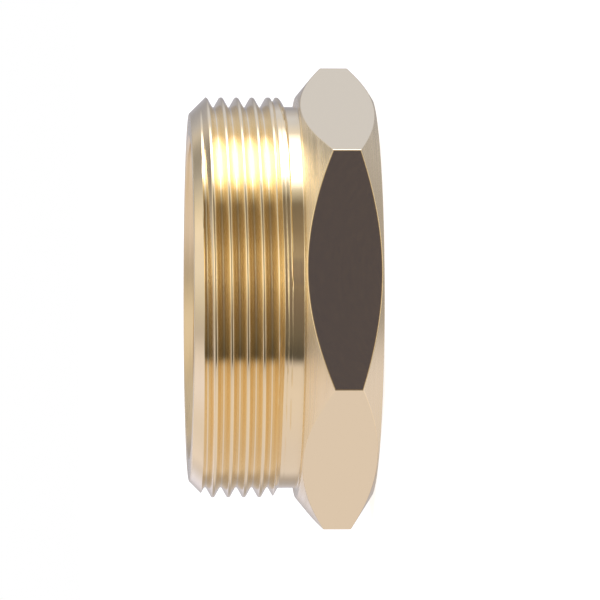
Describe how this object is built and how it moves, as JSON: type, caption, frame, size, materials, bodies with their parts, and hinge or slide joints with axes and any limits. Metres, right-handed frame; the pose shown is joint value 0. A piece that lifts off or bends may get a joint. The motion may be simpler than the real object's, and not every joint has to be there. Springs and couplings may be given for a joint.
{
  "type": "reducing bushing",
  "caption": "Hexagon reducing bushing: a short barrel with a male pipe thread on a chamfered hexagon, with a threaded bore right through it.",
  "frame": {"origin": "centre of the hexagon's end face, which the part stands on", "axes": "+Z along the axis of both threads, from the hexagon to the end of the male thread; X across two corners of the hexagon, Y across two flats"},
  "size_m": [0.0696, 0.0602, 0.0271],
  "materials": {
    "brass": "machined"
  },
  "bodies": {
    "root": {"bushing": "brass"}
  },
  "joints": []
}
